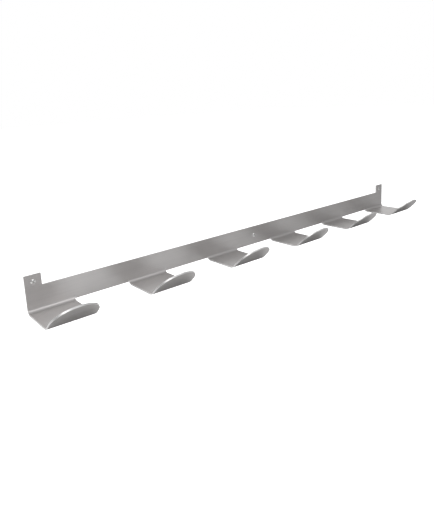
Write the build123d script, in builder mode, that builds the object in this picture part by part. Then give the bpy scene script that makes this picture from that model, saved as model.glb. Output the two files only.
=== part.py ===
# Wall hook rack: one stainless sheet, cut and folded into a rail with two
# fixing ears and six wide tongue hooks, and the three raised countersunk
# screws that hold it on a wall or a cabinet panel.
#
# Frame, in millimetres: X along the rail, Y = 0 is the wall and the back of
# the rail, the hooks stand out towards -Y, and +Z is up. The origin is the
# middle fixing hole on the wall plane.

from build123d import *

import math
import os

# ---- driving dimensions: the sheet ----
SHEET = 3.0  # thickness
RAIL_LENGTH = 1000.0
RAIL_HEIGHT = 40.0
EAR_WIDTH = 28.0
EAR_HEIGHT = 20.0  # above the rail's top edge
EAR_CORNER = 1.0  # radius of the ears' top corners
EAR_HOLE_INSET = 14.0  # from the rail's end
EAR_HOLE_DROP = 12.0  # below the ear's top edge
HOLE_DIAMETER = 5.0
SINK_DIAMETER = 8.6
SINK_ANGLE = 90.0

# ---- driving dimensions: one hook, all six alike ----
HOOK_COUNT = 6
HOOK_WIDTH = 80.0
FOLD_RADIUS = 6.0  # inside, between the rail and the shelf
FOLD_RISE = 4.0  # the fold starts this far above the rail's lower edge
SHELF_REACH = 70.0  # from the wall to the start of the lip's bend
LIP_RADIUS = 20.0  # inside, between the shelf and the lip
LIP_ANGLE = 43.0  # of the lip above the shelf
LIP_SIDE = 8.0  # straight side of the lip, before its round end
RELIEF_WIDTH = 0.8  # slit beside each fold, up from the rail's lower edge
RELIEF_HEIGHT = 4.5

# ---- driving dimensions: one screw, all three alike ----
SCREW_DIAMETER = 4.5  # over the thread
SCREW_NECK = 3.5  # diameter of the plain stretch under the head
SCREW_PLAIN = 1.5  # length of that stretch
SCREW_HEAD = 8.35
SCREW_CROWN = 1.1  # height of the raised head's dome above its rim
SCREW_LENGTH = 12.0  # from the rim of the head to the tip
SCREW_POINT = 3.5  # length of the pointed tip
SEAT_GAP = 0.03  # between the head's cone and its countersink
RECESS_WIDTH = 4.4  # across the arms of the cross
RECESS_ARM = 1.0  # width of one arm
RECESS_DEPTH = 2.3  # below the crown

# ---- places that follow from them ----
RAIL_BOTTOM = -RAIL_HEIGHT / 2
EAR_X = (RAIL_LENGTH - EAR_WIDTH) / 2
EAR_Z = (RAIL_HEIGHT + EAR_HEIGHT) / 2
EAR_HOLE_X = RAIL_LENGTH / 2 - EAR_HOLE_INSET
EAR_HOLE_Z = RAIL_HEIGHT / 2 + EAR_HEIGHT - EAR_HOLE_DROP
HOLES = {
    "left": (-EAR_HOLE_X, EAR_HOLE_Z),
    "middle": (0.0, 0.0),
    "right": (EAR_HOLE_X, EAR_HOLE_Z),
}

HOOK_PITCH = (RAIL_LENGTH - HOOK_WIDTH) / (HOOK_COUNT - 1)
FIRST_HOOK = -(RAIL_LENGTH - HOOK_WIDTH) / 2  # the middle of the left hook
HOOKS = [FIRST_HOOK + i * HOOK_PITCH for i in range(HOOK_COUNT)]
FOLD_Y = -SHEET - FOLD_RADIUS  # the middle of the fold's radius
FOLD_Z = RAIL_BOTTOM + FOLD_RISE
SHELF_Z = FOLD_Z - FOLD_RADIUS  # top of the shelf
LIP_LEAN = math.radians(LIP_ANGLE)
LIP_Y = -SHELF_REACH - LIP_RADIUS * math.sin(LIP_LEAN)  # end of the lip's bend
LIP_Z = SHELF_Z + LIP_RADIUS * (1 - math.cos(LIP_LEAN))
LIP_PLANE_NORMAL = (0, -math.sin(LIP_LEAN), -math.cos(LIP_LEAN))


def cut_back_for_fold(hook_x):
    """Cut the rail's lower edge back where a hook's fold begins, with a relief slit beside it."""
    low_edge = (Align.CENTER, Align.MIN)
    with Locations((hook_x, RAIL_BOTTOM)):
        Rectangle(HOOK_WIDTH, FOLD_RISE, align=low_edge, mode=Mode.SUBTRACT)
    for side in (-1, 1):
        slit_x = hook_x + side * (HOOK_WIDTH + RELIEF_WIDTH) / 2
        if abs(slit_x) < RAIL_LENGTH / 2:
            with Locations((slit_x, RAIL_BOTTOM)):
                Rectangle(RELIEF_WIDTH, RELIEF_HEIGHT, align=low_edge, mode=Mode.SUBTRACT)


def strip_outline():
    """Draw a hook's side view, from the fold under the rail to the end of the lip's bend."""
    lip_centre_z = SHELF_Z + LIP_RADIUS
    outer_y = LIP_Y - SHEET * math.sin(LIP_LEAN)
    outer_z = LIP_Z - SHEET * math.cos(LIP_LEAN)
    with BuildLine() as outline:
        Line((0, FOLD_Z), (-SHEET, FOLD_Z))
        CenterArc((FOLD_Y, FOLD_Z), FOLD_RADIUS, 0, -90)
        Line((FOLD_Y, SHELF_Z), (-SHELF_REACH, SHELF_Z))
        CenterArc((-SHELF_REACH, lip_centre_z), LIP_RADIUS, -90, -LIP_ANGLE)
        Line((LIP_Y, LIP_Z), (outer_y, outer_z))
        CenterArc((-SHELF_REACH, lip_centre_z), LIP_RADIUS + SHEET, -90, -LIP_ANGLE)
        Line((-SHELF_REACH, SHELF_Z - SHEET), (FOLD_Y, SHELF_Z - SHEET))
        CenterArc((FOLD_Y, FOLD_Z), FOLD_RADIUS + SHEET, 0, -90)
    make_face(outline.edges())


def tongue_outline():
    """Draw the flat of the lip: two straight sides and a half-round end as wide as the hook."""
    half = HOOK_WIDTH / 2
    with BuildLine() as outline:
        Polyline((half, LIP_SIDE), (half, 0), (-half, 0), (-half, LIP_SIDE))
        ThreePointArc((-half, LIP_SIDE), (0, LIP_SIDE + half), (half, LIP_SIDE))
    make_face(outline.edges())


def screw_profile():
    """Draw half of a screw about the Y axis, its rim level with the countersink; return its crown."""
    rim = SCREW_HEAD / 2
    rim_y = -SHEET + (SINK_DIAMETER - SCREW_HEAD) / 2 - SEAT_GAP
    neck_y = rim_y + (SCREW_HEAD - SCREW_NECK) / 2
    thread_y = neck_y + SCREW_PLAIN
    tip_y = rim_y + SCREW_LENGTH
    crown_y = rim_y - SCREW_CROWN
    dome = (rim**2 + SCREW_CROWN**2) / (2 * SCREW_CROWN)  # radius of the dome
    with BuildLine() as outline:
        CenterArc((0, crown_y + dome), dome, -90, math.degrees(math.asin(rim / dome)))
        Polyline(
            (rim, rim_y),
            (SCREW_NECK / 2, neck_y),
            (SCREW_NECK / 2, thread_y),
            (SCREW_DIAMETER / 2, thread_y),
            (SCREW_DIAMETER / 2, tip_y - SCREW_POINT),
            (0, tip_y),
            (0, crown_y),
        )
    make_face(outline.edges())
    return crown_y


# ---- the sheet ----
with BuildPart() as rack_sheet:
    with BuildSketch(Plane.XZ) as rail:
        Rectangle(RAIL_LENGTH, RAIL_HEIGHT)
        with Locations((-EAR_X, EAR_Z), (EAR_X, EAR_Z)):
            Rectangle(EAR_WIDTH, EAR_HEIGHT)
        fillet(rail.vertices().group_by(Axis.Y)[-1], EAR_CORNER)
        for hook_x in HOOKS:
            cut_back_for_fold(hook_x)
    extrude(amount=SHEET)
    for hook_x in HOOKS:
        with BuildSketch(Plane.YZ.offset(hook_x - HOOK_WIDTH / 2)):
            strip_outline()
        extrude(amount=HOOK_WIDTH)
        lip_plane = Plane((hook_x, LIP_Y, LIP_Z), x_dir=(1, 0, 0), z_dir=LIP_PLANE_NORMAL)
        with BuildSketch(lip_plane):
            tongue_outline()
        extrude(amount=SHEET)
    with Locations(Plane.XZ.offset(SHEET)):
        with Locations(*HOLES.values()):
            CounterSinkHole(HOLE_DIAMETER / 2, SINK_DIAMETER / 2, counter_sink_angle=SINK_ANGLE)
rack_sheet.part.label = "rack_sheet"

parts = {"rack_sheet": rack_sheet.part}

# ---- the screws ----
for place, (hole_x, hole_z) in HOLES.items():
    with BuildPart() as screw:
        with BuildSketch(Plane((hole_x, 0, hole_z), x_dir=(1, 0, 0), z_dir=(0, 0, 1))):
            crown_y = screw_profile()
        revolve(axis=Axis((hole_x, 0, hole_z), (0, 1, 0)))
        with BuildSketch(Plane((hole_x, crown_y, hole_z), x_dir=(1, 0, 0), z_dir=(0, 1, 0))):
            Rectangle(RECESS_WIDTH, RECESS_ARM)
            Rectangle(RECESS_ARM, RECESS_WIDTH)
        extrude(amount=RECESS_DEPTH, mode=Mode.SUBTRACT)
    screw.part.label = f"screw_{place}"
    parts[screw.part.label] = screw.part

os.makedirs("parts", exist_ok=True)
for name, part in parts.items():
    export_step(part, f"parts/{name}.step")
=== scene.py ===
"""Wall hook rack: the looks of one folded stainless sheet and its three screws, around the CAD frame."""

import math

import bmesh
import bpy
from mathutils import Matrix, Vector


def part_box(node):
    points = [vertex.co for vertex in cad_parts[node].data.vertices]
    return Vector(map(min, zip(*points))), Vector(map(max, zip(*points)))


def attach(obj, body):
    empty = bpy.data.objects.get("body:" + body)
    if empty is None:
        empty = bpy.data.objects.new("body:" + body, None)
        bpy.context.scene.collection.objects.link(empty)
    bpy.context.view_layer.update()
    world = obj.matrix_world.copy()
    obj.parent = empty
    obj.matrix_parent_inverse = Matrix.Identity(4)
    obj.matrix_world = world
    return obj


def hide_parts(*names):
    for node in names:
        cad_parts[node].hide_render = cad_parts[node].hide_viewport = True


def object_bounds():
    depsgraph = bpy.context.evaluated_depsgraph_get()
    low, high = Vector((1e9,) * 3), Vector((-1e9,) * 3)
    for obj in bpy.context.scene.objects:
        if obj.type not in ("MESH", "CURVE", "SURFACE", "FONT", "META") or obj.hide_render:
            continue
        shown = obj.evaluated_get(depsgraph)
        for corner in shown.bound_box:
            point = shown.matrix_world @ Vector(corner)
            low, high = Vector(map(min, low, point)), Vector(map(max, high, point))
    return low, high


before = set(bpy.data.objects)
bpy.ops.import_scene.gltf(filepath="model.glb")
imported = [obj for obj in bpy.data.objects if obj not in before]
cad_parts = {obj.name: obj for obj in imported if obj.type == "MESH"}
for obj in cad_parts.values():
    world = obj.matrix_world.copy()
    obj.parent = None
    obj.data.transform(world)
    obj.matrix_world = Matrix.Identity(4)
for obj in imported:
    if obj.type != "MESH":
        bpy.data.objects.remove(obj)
cad_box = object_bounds()

MM = 0.001

# ---- the sheet, in metres ----
SHEET_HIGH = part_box("rack_sheet")[1]
SHEET = 3.0 * MM
RAIL_END = SHEET_HIGH.x
RAIL_BOTTOM, RAIL_TOP = -20.0 * MM, 20.0 * MM
EAR_TOP = SHEET_HIGH.z
EAR_INNER = RAIL_END - 28.0 * MM
EAR_CORNER = 1.0 * MM
BORE, SINK = 2.5 * MM, 4.3 * MM  # radii of a fixing hole and of its countersink's mouth
HOLE_SIDES = 64
CORNER_STEPS = 5
EDGE_ROUND = 0.25 * MM  # of the deburred edges
EDGE_STEPS = 3
EDGE_ANGLE = math.radians(30)  # edges sharper than this are rounded
HOLE_ROUND_SHARE = 0.3  # of that rounding, round the holes

# ---- the hooks, in metres ----
HOOK_COUNT = 6
HOOK_WIDTH = 80.0 * MM
FOLD_RADIUS = 6.0 * MM
FOLD_Z = RAIL_BOTTOM + 4.0 * MM
SHELF_REACH = 70.0 * MM
LIP_RADIUS = 20.0 * MM
LIP_LEAN = math.radians(43)
LIP_SIDE = 8.0 * MM
RELIEF_WIDTH = 0.8 * MM
RELIEF_TOP = RAIL_BOTTOM + 4.5 * MM
FOLD_STEPS, LIP_STEPS, TONGUE_STEPS = 16, 24, 72

HOOK_PITCH = (2 * RAIL_END - HOOK_WIDTH) / (HOOK_COUNT - 1)
HOOKS = [-RAIL_END + HOOK_WIDTH / 2 + i * HOOK_PITCH for i in range(HOOK_COUNT)]
FOLD_Y = -SHEET - FOLD_RADIUS
SHELF_Z = FOLD_Z - FOLD_RADIUS
LIP_Y = -SHELF_REACH - LIP_RADIUS * math.sin(LIP_LEAN)
LIP_Z = SHELF_Z + LIP_RADIUS * (1 - math.cos(LIP_LEAN))

# ---- the screws, in metres ----
SCREWS = ("screw_left", "screw_middle", "screw_right")
CROWN = 1.1 * MM  # height of the dome above its rim
THREAD_CREST = 2.25 * MM  # radii
THREAD_ROOT = 1.6 * MM
PLAIN_SHANK = 1.75 * MM
PLAIN_LENGTH = 1.5 * MM
POINT_LENGTH = 3.5 * MM
THREAD_PITCH = 1.8 * MM
RIDGE_SUNK = 0.08 * MM  # how far the thread's ridge reaches into the core
CREST_HALF = 0.06 * MM  # half the width of its crest
FLANK_SHARE = 0.42  # half the width of its foot, as a share of the pitch
AXIS_GAP = 0.02 * MM  # the ridge comes no closer to the axis than this
RECESS_REACH, RECESS_ARM, RECESS_DEPTH = 2.2 * MM, 0.5 * MM, 2.3 * MM
RECESS_FOOT_REACH, RECESS_FOOT_ARM = 0.75 * MM, 0.34 * MM
CROWN_STEPS = 12
FIRST_TURN, NEXT_TURN = math.radians(18), math.radians(31)  # of the recesses
SMOOTH_ANGLE = math.radians(32)
ROUND_SIDES = 64


# ---- small helpers ----
def new_piece(name, mesh, materials):
    """Link a finished mesh, give it its materials and let it ride on the rack."""
    piece = bpy.data.objects.new(name, mesh)
    bpy.context.scene.collection.objects.link(piece)
    for material in materials:
        mesh.materials.append(material)
    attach(piece, "root")
    return piece


def arc(centre, radius, start, turn, steps):
    """Points on a flat arc, both ends included; angles in degrees."""
    angles = [math.radians(start + turn * i / steps) for i in range(steps + 1)]
    return [(centre[0] + radius * math.cos(a), centre[1] + radius * math.sin(a)) for a in angles]


# ---- materials ----
def node_material(name):
    """Return a new material, its node tree and its Principled shader."""
    material = bpy.data.materials.new(name)
    material.use_nodes = True
    return material, material.node_tree, material.node_tree.nodes["Principled BSDF"]


def stretched_noise(tree, stretch, scale, detail, roughness=0.6):
    """Noise in the rack's own frame, stretched by a different share along each axis."""
    place = tree.nodes.new("ShaderNodeTexCoord")
    mapping = tree.nodes.new("ShaderNodeMapping")
    mapping.inputs["Scale"].default_value = stretch
    noise = tree.nodes.new("ShaderNodeTexNoise")
    noise.inputs["Scale"].default_value = scale
    noise.inputs["Detail"].default_value = detail
    noise.inputs["Roughness"].default_value = roughness
    tree.links.new(place.outputs["Object"], mapping.inputs["Vector"])
    tree.links.new(mapping.outputs["Vector"], noise.inputs["Vector"])
    return noise.outputs["Fac"]


def remap(tree, value, low, high, from_low=0.3, from_high=0.7):
    """Turn a noise's usual span into the wanted one."""
    node = tree.nodes.new("ShaderNodeMapRange")
    node.inputs["From Min"].default_value = from_low
    node.inputs["From Max"].default_value = from_high
    node.inputs["To Min"].default_value = low
    node.inputs["To Max"].default_value = high
    tree.links.new(value, node.inputs["Value"])
    return node.outputs["Result"]


def math_node(tree, operation, *values):
    """Return the result of an operation on values that are numbers or other nodes' sockets."""
    node = tree.nodes.new("ShaderNodeMath")
    node.operation = operation
    for socket, value in zip(node.inputs, values):
        if isinstance(value, float):
            socket.default_value = value
        else:
            tree.links.new(value, socket)
    return node.outputs["Value"]


def tinted(tree, value, dark, light):
    """A colour between two, by a value from 0 to 1."""
    ramp = tree.nodes.new("ShaderNodeValToRGB")
    ramp.color_ramp.elements[0].color = (*dark, 1)
    ramp.color_ramp.elements[1].color = (*light, 1)
    tree.links.new(value, ramp.inputs["Fac"])
    return ramp.outputs["Color"]


def bump(tree, shader, height, distance):
    """Raise and lower the surface by a height from 0 to 1."""
    node = tree.nodes.new("ShaderNodeBump")
    node.inputs["Distance"].default_value = distance
    tree.links.new(height, node.inputs["Height"])
    tree.links.new(node.outputs["Normal"], shader.inputs["Normal"])


def grain_along_rail(tree, shader, anisotropy):
    """Blur reflections across the grain, which runs along X."""
    along = tree.nodes.new("ShaderNodeCombineXYZ")
    along.inputs["X"].default_value = 1.0
    tree.links.new(along.outputs["Vector"], shader.inputs["Tangent"])
    shader.inputs["Anisotropic"].default_value = anisotropy
    shader.inputs["Anisotropic Rotation"].default_value = 0.25  # a quarter turn


def brushed_sheet():
    """Satin stainless sheet: long fine scratches along the rail, over faint cloudy patches."""
    material, tree, shader = node_material("brushed_stainless")
    grain = stretched_noise(tree, (6, 900, 900), 1.0, 6)
    streaks = stretched_noise(tree, (3, 120, 120), 1.0, 3)
    clouds = stretched_noise(tree, (1, 1.6, 1.6), 9.0, 3)
    tone = math_node(tree, "ADD", remap(tree, grain, 0, 0.5), remap(tree, clouds, 0, 0.5))
    shader.inputs["Metallic"].default_value = 1.0
    tree.links.new(
        tinted(tree, tone, (0.60, 0.585, 0.58), (0.70, 0.682, 0.676)),
        shader.inputs["Base Color"],
    )
    rough = math_node(tree, "ADD", remap(tree, streaks, 0.32, 0.40), remap(tree, grain, -0.03, 0.03))
    tree.links.new(rough, shader.inputs["Roughness"])
    bump(tree, shader, grain, 0.012 * MM)
    grain_along_rail(tree, shader, 0.7)
    return material


def cut_edge():
    """The sheet's laser-cut edges: paler and duller, with fine ridges through the thickness."""
    material, tree, shader = node_material("cut_edge")
    ridges = stretched_noise(tree, (1, 1, 1), 2600.0, 2)
    shader.inputs["Metallic"].default_value = 1.0
    tree.links.new(
        tinted(tree, remap(tree, ridges, 0, 1), (0.84, 0.835, 0.83), (0.94, 0.935, 0.93)),
        shader.inputs["Base Color"],
    )
    tree.links.new(remap(tree, ridges, 0.30, 0.42), shader.inputs["Roughness"])
    bump(tree, shader, ridges, 0.02 * MM)
    return material


def screw_steel():
    """Bright stainless wire, with faint drawing marks and a few darker specks."""
    material, tree, shader = node_material("screw_stainless")
    marks = stretched_noise(tree, (700, 90, 700), 1.0, 4)
    specks = stretched_noise(tree, (1, 1, 1), 900.0, 2)
    tone = math_node(tree, "ADD", remap(tree, marks, 0, 0.6), remap(tree, specks, 0, 0.4))
    shader.inputs["Metallic"].default_value = 1.0
    tree.links.new(
        tinted(tree, tone, (0.82, 0.82, 0.81), (0.94, 0.94, 0.93)), shader.inputs["Base Color"]
    )
    tree.links.new(remap(tree, specks, 0.12, 0.22), shader.inputs["Roughness"])
    bump(tree, shader, marks, 0.006 * MM)
    return material


# ---- the sheet ----
class SheetMesh:
    """Gathers faces of the sheet's front skin; the back skin and the cut edges follow from them.

    A corner is a tuple of points through the sheet's thickness, front skin first.
    """

    def __init__(self):
        self.mesh = bmesh.new()
        self.stacks = {}
        self.borders = {}  # in order, the sides that only one face has so far

    def stack(self, corner):
        """The corner's vertices, shared by every face that meets there."""
        key = tuple(round(c / MM, 3) for c in corner[0])
        if key not in self.stacks:
            self.stacks[key] = [self.mesh.verts.new(point) for point in corner]
        return key

    def face(self, corners):
        """Add a face, anticlockwise as seen from the front, to both skins."""
        keys = [self.stack(corner) for corner in corners]
        self.mesh.faces.new([self.stacks[key][0] for key in keys])
        self.mesh.faces.new([self.stacks[key][-1] for key in reversed(keys)])
        for side in zip(keys, keys[1:] + keys[:1]):
            if self.borders.pop(side[::-1], None) is None:
                self.borders[side] = True

    def close(self):
        """Wall up every cut edge, and weigh the edges to be rounded."""
        walls = []
        for first_key, second_key in self.borders:
            first, second = self.stacks[first_key], self.stacks[second_key]
            for level in range(len(first) - 1):
                outline = (first[level + 1], second[level + 1], second[level], first[level])
                walls.append(self.mesh.faces.new(outline))
        for wall in walls:
            wall.material_index = 1
        weight = self.mesh.edges.layers.float.new("bevel_weight_edge")
        self.mesh.normal_update()
        in_holes = {v for stack in self.stacks.values() if len(stack) > 2 for v in stack}
        for edge in self.mesh.edges:
            if edge.calc_face_angle(0) > EDGE_ANGLE:
                edge[weight] = 1.0 if in_holes.isdisjoint(edge.verts) else HOLE_ROUND_SHARE
        return self.mesh


def on_rail(x, z):
    """A corner of the rail."""
    return ((x, -SHEET, z), (x, 0.0, z))


def on_fold(x, degrees):
    """A corner of a hook's fold, from 0 at the rail to 90 at the shelf."""
    angle = math.radians(degrees)
    return tuple(
        (x, FOLD_Y + radius * math.cos(angle), FOLD_Z - radius * math.sin(angle))
        for radius in (FOLD_RADIUS, FOLD_RADIUS + SHEET)
    )


def on_lip_bend(x, degrees):
    """A corner of the bend between a hook's shelf and its lip, from 0 at the shelf."""
    angle = math.radians(degrees)
    return tuple(
        (x, -SHELF_REACH - radius * math.sin(angle), SHELF_Z + LIP_RADIUS - radius * math.cos(angle))
        for radius in (LIP_RADIUS, LIP_RADIUS + SHEET)
    )


def on_tongue(x, along):
    """A corner of the flat of a hook's lip."""
    across_y, across_z = math.sin(LIP_LEAN), math.cos(LIP_LEAN)
    y, z = LIP_Y - along * across_z, LIP_Z + along * across_y
    return ((x, y, z), (x, y - SHEET * across_y, z - SHEET * across_z))


def half_hole(x, z, start):
    """Corners down one side of a countersunk hole: its mouth, the cone's foot and the back."""
    cone_foot = -SHEET + (SINK - BORE)
    mouth = arc((x, z), SINK, start, -180, HOLE_SIDES // 2)
    bore = arc((x, z), BORE, start, -180, HOLE_SIDES // 2)
    return [
        ((mx, -SHEET, mz), (bx, cone_foot, bz), (bx, 0.0, bz))
        for (mx, mz), (bx, bz) in zip(mouth, bore)
    ]


def add_around_hole(sheet, x, z, left, right):
    """Add the two faces beside a hole. left runs down its side of them, and right runs up."""
    sheet.face([on_rail(*p) for p in left] + half_hole(x, z, 270))
    sheet.face([on_rail(*p) for p in right] + half_hole(x, z, 90))


def add_rail_over_hook(sheet, hook_x, marks):
    """Add the rail's face above one hook; marks are where other faces meet its top edge."""
    left, right = hook_x - HOOK_WIDTH / 2, hook_x + HOOK_WIDTH / 2
    outline = [(left, FOLD_Z), (right, FOLD_Z)]
    if right < RAIL_END - MM:
        outline.append((right, RELIEF_TOP))
    top = [right] + [x for x in sorted(marks, reverse=True) if left < x < right] + [left]
    outline += [(x, RAIL_TOP) for x in top]
    if left > -RAIL_END + MM:
        outline.append((left, RELIEF_TOP))
    sheet.face([on_rail(*p) for p in outline])


def add_rail_between(sheet, left_hook, right_hook, hole_x):
    """Add the rail's faces between two hooks, with a relief notch at each end."""
    inner = HOOK_WIDTH / 2
    outer = inner + RELIEF_WIDTH
    for a, b in (
        (left_hook + inner, left_hook + outer),
        (right_hook - outer, right_hook - inner),
    ):
        outline = [(a, RELIEF_TOP), (b, RELIEF_TOP), (b, RAIL_TOP), (a, RAIL_TOP)]
        sheet.face([on_rail(*p) for p in outline])
    a, b = left_hook + outer, right_hook - outer
    down_left = [(a, RAIL_TOP), (a, RELIEF_TOP), (a, RAIL_BOTTOM)]
    up_right = [(b, RAIL_BOTTOM), (b, RELIEF_TOP), (b, RAIL_TOP)]
    if a < hole_x < b:
        top, bottom = (hole_x, RAIL_TOP), (hole_x, RAIL_BOTTOM)
        add_around_hole(sheet, hole_x, 0.0, [top] + down_left + [bottom], [bottom] + up_right + [top])
    else:
        sheet.face([on_rail(*p) for p in down_left + up_right])


def add_ear(sheet, side, hole_x, hole_z):
    """Add one fixing ear; side is -1 at the rail's left end and 1 at its right."""
    left, right = sorted((side * RAIL_END, side * EAR_INNER))
    high = EAR_TOP - EAR_CORNER
    top_left = arc((left + EAR_CORNER, high), EAR_CORNER, 90, 90, CORNER_STEPS)
    top_right = arc((right - EAR_CORNER, high), EAR_CORNER, 0, 90, CORNER_STEPS)
    top, bottom = (hole_x, EAR_TOP), (hole_x, RAIL_TOP)
    add_around_hole(
        sheet,
        hole_x,
        hole_z,
        [top] + top_left + [(left, RAIL_TOP), bottom],
        [bottom, (right, RAIL_TOP)] + top_right + [top],
    )


def add_hook(sheet, hook_x):
    """Add one hook: fold, shelf, bend and the round-ended lip."""
    left, right = hook_x - HOOK_WIDTH / 2, hook_x + HOOK_WIDTH / 2
    fold = [(on_fold, 90 * i / FOLD_STEPS) for i in range(FOLD_STEPS + 1)]
    bend = [(on_lip_bend, math.degrees(LIP_LEAN) * i / LIP_STEPS) for i in range(LIP_STEPS + 1)]
    rows = [(place(left, step), place(right, step)) for place, step in fold + bend]
    for above, below in zip(rows, rows[1:]):
        sheet.face([above[0], below[0], below[1], above[1]])
    end = arc((hook_x, LIP_SIDE), HOOK_WIDTH / 2, 180, -180, TONGUE_STEPS)
    sheet.face(
        [on_tongue(left, 0.0)] + [on_tongue(x, along) for x, along in end] + [on_tongue(right, 0.0)]
    )


def make_sheet(materials, holes):
    """The whole sheet, folded, with its edges rounded."""
    sheet = SheetMesh()
    ear_holes, rail_hole = (holes[0], holes[2]), holes[1]
    marks = [-EAR_INNER, EAR_INNER] + [x for x, z in ear_holes]
    for hook_x in HOOKS:
        add_rail_over_hook(sheet, hook_x, marks)
        add_hook(sheet, hook_x)
    for left_hook, right_hook in zip(HOOKS, HOOKS[1:]):
        add_rail_between(sheet, left_hook, right_hook, rail_hole[0])
    for side, (x, z) in zip((-1, 1), ear_holes):
        add_ear(sheet, side, x, z)
    made = sheet.close()
    for face in made.faces:
        face.smooth = True
    mesh = bpy.data.meshes.new("folded_sheet")
    made.to_mesh(mesh)
    made.free()
    piece = new_piece("folded_sheet", mesh, materials)
    rounding = piece.modifiers.new("rounded_edges", "BEVEL")
    rounding.limit_method = "WEIGHT"
    rounding.width = EDGE_ROUND
    rounding.segments = EDGE_STEPS
    rounding.harden_normals = True
    rounding.use_clamp_overlap = False
    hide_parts("rack_sheet")
    return piece


# ---- the screws ----
def revolve(mesh, profile, sides):
    """Turn (radius, y) points about the Y axis; the first and the last point are on the axis."""
    rings = []
    for radius, y in profile[1:-1]:
        ring = [mesh.verts.new((x, y, z)) for x, z in arc((0, 0), radius, 0, 360, sides)[:-1]]
        rings.append(ring)
    first = mesh.verts.new((0, profile[0][1], 0))
    last = mesh.verts.new((0, profile[-1][1], 0))
    for i in range(sides):
        j = (i + 1) % sides
        mesh.faces.new((first, rings[0][i], rings[0][j]))
        for near, far in zip(rings, rings[1:]):
            mesh.faces.new((near[i], far[i], far[j], near[j]))
        mesh.faces.new((rings[-1][j], rings[-1][i], last))


def thread_ridge(mesh, start_y, end_y, point_y):
    """Sweep the thread's ridge round the core, fading out at both ends."""
    turns = (end_y - start_y) / THREAD_PITCH
    steps = int(turns * ROUND_SIDES)
    sections = []
    for i in range(steps + 1):
        share = i / steps
        y = start_y + share * (end_y - start_y)
        angle = 2 * math.pi * turns * share
        taper = min(1.0, max(0.0, (point_y + POINT_LENGTH - y) / POINT_LENGTH))
        fade = min(1.0, share * turns * 1.5, (1 - share) * turns)
        root = THREAD_ROOT * taper - RIDGE_SUNK
        crest = root + (THREAD_CREST - THREAD_ROOT + RIDGE_SUNK) * (0.1 + 0.9 * fade)
        half = FLANK_SHARE * THREAD_PITCH * (0.2 + 0.8 * fade)
        section = []
        for radius, along in (
            (root, y - half),
            (crest, y - CREST_HALF),
            (crest, y + CREST_HALF),
            (root, y + half),
        ):
            radius = max(radius, AXIS_GAP)
            place = (radius * math.cos(angle), along, radius * math.sin(angle))
            section.append(mesh.verts.new(place))
        sections.append(section)
    for near, far in zip(sections, sections[1:]):
        for i in range(4):
            j = (i + 1) % 4
            mesh.faces.new((near[i], near[j], far[j], far[i]))
    mesh.faces.new(sections[0][::-1])
    mesh.faces.new(sections[-1])


def cross_cutter(crown_y):
    """A tapered cross that cuts the driver's recess out of the head."""
    cutter = bmesh.new()
    levels = []
    for y, reach, arm in (
        (crown_y - 0.5 * MM, RECESS_REACH, RECESS_ARM),
        (crown_y + 0.3 * MM, RECESS_REACH, RECESS_ARM),
        (crown_y + RECESS_DEPTH, RECESS_FOOT_REACH, RECESS_FOOT_ARM),
    ):
        quarter = [(reach, -arm), (reach, arm), (arm, arm)]
        outline = []
        for c, s in ((1, 0), (0, 1), (-1, 0), (0, -1)):  # by quarter turns
            outline += [(x * c - z * s, x * s + z * c) for x, z in quarter]
        levels.append([cutter.verts.new((x, y, z)) for x, z in outline])
    for near, far in zip(levels, levels[1:]):
        for i in range(len(near)):
            j = (i + 1) % len(near)
            cutter.faces.new((near[i], near[j], far[j], far[i]))
    cutter.faces.new(levels[0][::-1])
    cutter.faces.new(levels[-1])
    bmesh.ops.recalc_face_normals(cutter, faces=cutter.faces)
    mesh = bpy.data.meshes.new("cross_cutter")
    cutter.to_mesh(mesh)
    cutter.free()
    return mesh


def screw_mesh(head, length):
    """One screw about the Y axis, with its crown at Y = 0."""
    dome = (head**2 + CROWN**2) / (2 * CROWN)
    spread = math.degrees(math.asin((head - 0.08 * MM) / dome))
    crown = arc((0, dome), dome, -90, spread, CROWN_STEPS)
    rim_y = CROWN
    neck_y = rim_y + (head - PLAIN_SHANK)
    core = [
        (head, rim_y - 0.02 * MM),
        (head, rim_y + 0.05 * MM),
        (PLAIN_SHANK + 0.15 * MM, neck_y - 0.15 * MM),
        (PLAIN_SHANK, neck_y + 0.2 * MM),
        (PLAIN_SHANK, neck_y + PLAIN_LENGTH),
        (THREAD_ROOT, neck_y + PLAIN_LENGTH + 0.4 * MM),
        (THREAD_ROOT, length - POINT_LENGTH),
        (0.12 * MM, length - 0.1 * MM),
        (0, length),
    ]
    blank = bmesh.new()
    revolve(blank, crown + core, ROUND_SIDES)
    bmesh.ops.recalc_face_normals(blank, faces=blank.faces)
    mesh = bpy.data.meshes.new("screw_blank")
    blank.to_mesh(mesh)
    blank.free()

    body = bpy.data.objects.new("screw_blank", mesh)
    cutter = bpy.data.objects.new("cross_cutter", cross_cutter(0.0))
    for thing in (body, cutter):
        bpy.context.scene.collection.objects.link(thing)
    recess = body.modifiers.new("recess", "BOOLEAN")
    recess.object = cutter
    recess.solver = "EXACT"
    cut = bmesh.new()
    cut.from_object(body, bpy.context.evaluated_depsgraph_get())
    for thing in (body, cutter):
        bpy.data.objects.remove(thing)

    ridge = bmesh.new()
    thread_ridge(ridge, neck_y + PLAIN_LENGTH, length - 0.5 * MM, length - POINT_LENGTH)
    bmesh.ops.recalc_face_normals(ridge, faces=ridge.faces)
    ridge_mesh = bpy.data.meshes.new("thread")
    ridge.to_mesh(ridge_mesh)
    ridge.free()
    cut.from_mesh(ridge_mesh)
    bpy.data.meshes.remove(ridge_mesh)

    for face in cut.faces:
        face.smooth = True
    made = bpy.data.meshes.new("screw")
    cut.to_mesh(made)
    cut.free()
    made.set_sharp_from_angle(angle=SMOOTH_ANGLE)
    return made


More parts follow.
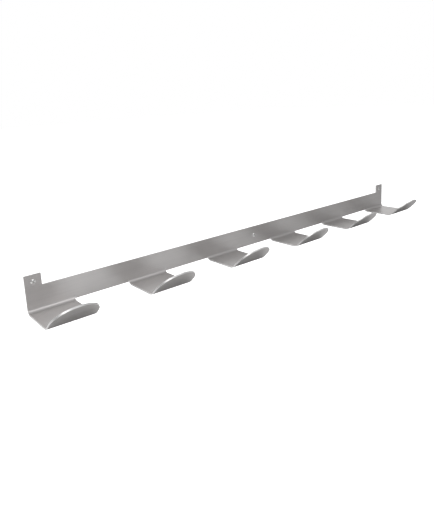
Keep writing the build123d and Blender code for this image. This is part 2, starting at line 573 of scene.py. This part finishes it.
def make_screws(material):
    """Every screw, turned to its own angle; return where their holes are, left to right."""
    holes = []
    for number, node in enumerate(SCREWS):
        low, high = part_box(node)
        centre = (low + high) / 2
        head = (high.x - low.x) / 2
        mesh = screw_mesh(head, high.y - low.y)
        stop = Matrix.Rotation(FIRST_TURN + NEXT_TURN * number, 4, "Y")
        mesh.transform(Matrix.Translation((centre.x, low.y, centre.z)) @ stop)
        piece = new_piece(node.replace("screw", "fixing_screw"), mesh, [material])
        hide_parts(node)
        holes.append((centre.x, centre.z))
    return holes


# ---- the studio ----
FLOOR_Z, FLOOR_SIZE = -0.45, 20.0  # a plane's size is half its side
FLOOR_TONE, FLOOR_GLOW = 0.92, 1.0
CARD_SIZE = 2.5
CARD_GAP = 0.3 * MM  # between the rack and the card that it is reflected against
CARD_PAINTED_FALLOFF = (0.80, 0.47)  # painted shade: the card's tone near the rack's left end, and a darker one past its right end, standing in for light that falls off
CARD_GLOW = 0.04  # keeps the shelves' undersides from going black
CARD_FADE = (-0.35, 0.65)  # where along X the one turns into the other
SOFTBOXES = (  # which way each one is, its brightness, and how narrow it is
    (Vector((-0.65, -0.20, 0.70)), 2.4, 18.0),  # the key, over the left shoulder
    (Vector((0.20, -0.80, 0.60)), 1.2, 8.0),  # the fill, in front
    (Vector((0.25, -0.90, 0.35)), 0.8, 80.0),  # a small one that the screws' crowns catch
    (Vector((-0.40, 0.60, 0.60)), 1.9, 6.0),  # behind, for the shelves
    (Vector((0.60, 0.60, 0.50)), 1.0, 6.0),  # behind too, past the right end
    (Vector((0.00, 0.00, 1.00)), 0.5, 8.0),  # overhead
    (Vector((1.00, -0.20, 0.30)), 0.4, 6.0),  # beside the right end
)


def pale_plane(name, z, size, tone, glow):
    """A plain pale plane, with some light of its own; return it, its node tree and its shader."""
    grid = bmesh.new()
    bmesh.ops.create_grid(grid, x_segments=1, y_segments=1, size=size)
    mesh = bpy.data.meshes.new(name)
    grid.to_mesh(mesh)
    grid.free()
    plane = bpy.data.objects.new(name, mesh)
    plane.location.z = z
    bpy.context.scene.collection.objects.link(plane)
    material, tree, shader = node_material(name)
    shader.inputs["Base Color"].default_value = (tone, tone, tone, 1)
    shader.inputs["Roughness"].default_value = 0.9
    shader.inputs["Specular IOR Level"].default_value = 0.0
    shader.inputs["Emission Color"].default_value = (1, 1, 1, 1)
    shader.inputs["Emission Strength"].default_value = glow
    mesh.materials.append(material)
    return plane, tree, shader


def make_room():
    """The room's light, from wide softboxes all round. The camera sees plain white instead."""
    world = bpy.data.worlds.new("room")
    bpy.context.scene.world = world
    world.use_nodes = True
    tree = world.node_tree
    towards = tree.nodes.new("ShaderNodeTexCoord").outputs["Generated"]
    room = 0.0
    for place, brightness, narrowness in SOFTBOXES:
        facing = tree.nodes.new("ShaderNodeVectorMath")
        facing.operation = "DOT_PRODUCT"
        facing.inputs[1].default_value = place.normalized()
        tree.links.new(towards, facing.inputs[0])
        glow = math_node(tree, "MAXIMUM", facing.outputs["Value"], 0.0)
        glow = math_node(tree, "POWER", glow, narrowness)
        room = math_node(tree, "MULTIPLY_ADD", glow, brightness, room)
    lit, white, seen = (
        tree.nodes["Background"],
        tree.nodes.new("ShaderNodeBackground"),
        tree.nodes.new("ShaderNodeMixShader"),
    )
    lit.inputs["Color"].default_value = (1, 1, 1, 1)
    tree.links.new(room, lit.inputs["Strength"])
    white.inputs["Color"].default_value = (1, 1, 1, 1)
    tree.links.new(tree.nodes.new("ShaderNodeLightPath").outputs["Is Camera Ray"], seen.inputs["Fac"])
    tree.links.new(lit.outputs["Background"], seen.inputs[1])
    tree.links.new(white.outputs["Background"], seen.inputs[2])
    tree.links.new(seen.outputs["Shader"], tree.nodes["World Output"].inputs["Surface"])


def make_studio():
    """A white floor well under the rack, and a pale card close under it for the steel to reflect."""
    floor = pale_plane("floor", FLOOR_Z, FLOOR_SIZE, FLOOR_TONE, FLOOR_GLOW)[0]
    floor.visible_glossy = False
    card, tree, shader = pale_plane("card", cad_box[0].z - CARD_GAP, CARD_SIZE, 1.0, CARD_GLOW)
    card.visible_camera = False
    card.visible_diffuse = False
    card.visible_shadow = False
    place = tree.nodes.new("ShaderNodeTexCoord")
    parts = tree.nodes.new("ShaderNodeSeparateXYZ")
    tree.links.new(place.outputs["Object"], parts.inputs["Vector"])
    # painted shade: the card fades from pale to darker along X, so the steel reflects less light towards
    # the right
    tone = remap(tree, parts.outputs["X"], *CARD_PAINTED_FALLOFF, *CARD_FADE)
    tree.links.new(tone, shader.inputs["Base Color"])
    make_room()
    bpy.context.scene.view_settings.view_transform = "Standard"


# ---- the camera ----
CAMERA_AT = (-0.7258, -0.7655, 0.2966)
AZIMUTH, ELEVATION, ROLL = math.radians(-38.51), math.radians(11.15), math.radians(-3.07)
LENS = 34.71  # mm, on a sensor 36 mm along the picture's long side
SHIFT = (0.0145, -0.115)  # of the lens, as a share of the long side


def make_camera():
    """A camera to the left of the rack and above it, turned by a slight roll."""
    forward = Vector(
        (
            -math.sin(AZIMUTH) * math.cos(ELEVATION),
            math.cos(AZIMUTH) * math.cos(ELEVATION),
            -math.sin(ELEVATION),
        )
    )
    level = forward.cross(Vector((0, 0, 1))).normalized()
    upright = level.cross(forward)
    right = level * math.cos(ROLL) + upright * math.sin(ROLL)
    up = upright * math.cos(ROLL) - level * math.sin(ROLL)
    data = bpy.data.cameras.new("camera")
    data.lens = LENS
    data.shift_x, data.shift_y = SHIFT
    data.clip_end = 100
    camera = bpy.data.objects.new("camera", data)
    turned = Matrix((right, up, -forward)).transposed().to_4x4()
    camera.matrix_world = Matrix.Translation(CAMERA_AT) @ turned
    bpy.context.scene.collection.objects.link(camera)
    bpy.context.scene.camera = camera


hole_places = make_screws(screw_steel())
make_sheet([brushed_sheet(), cut_edge()], hole_places)
make_studio()
make_camera()
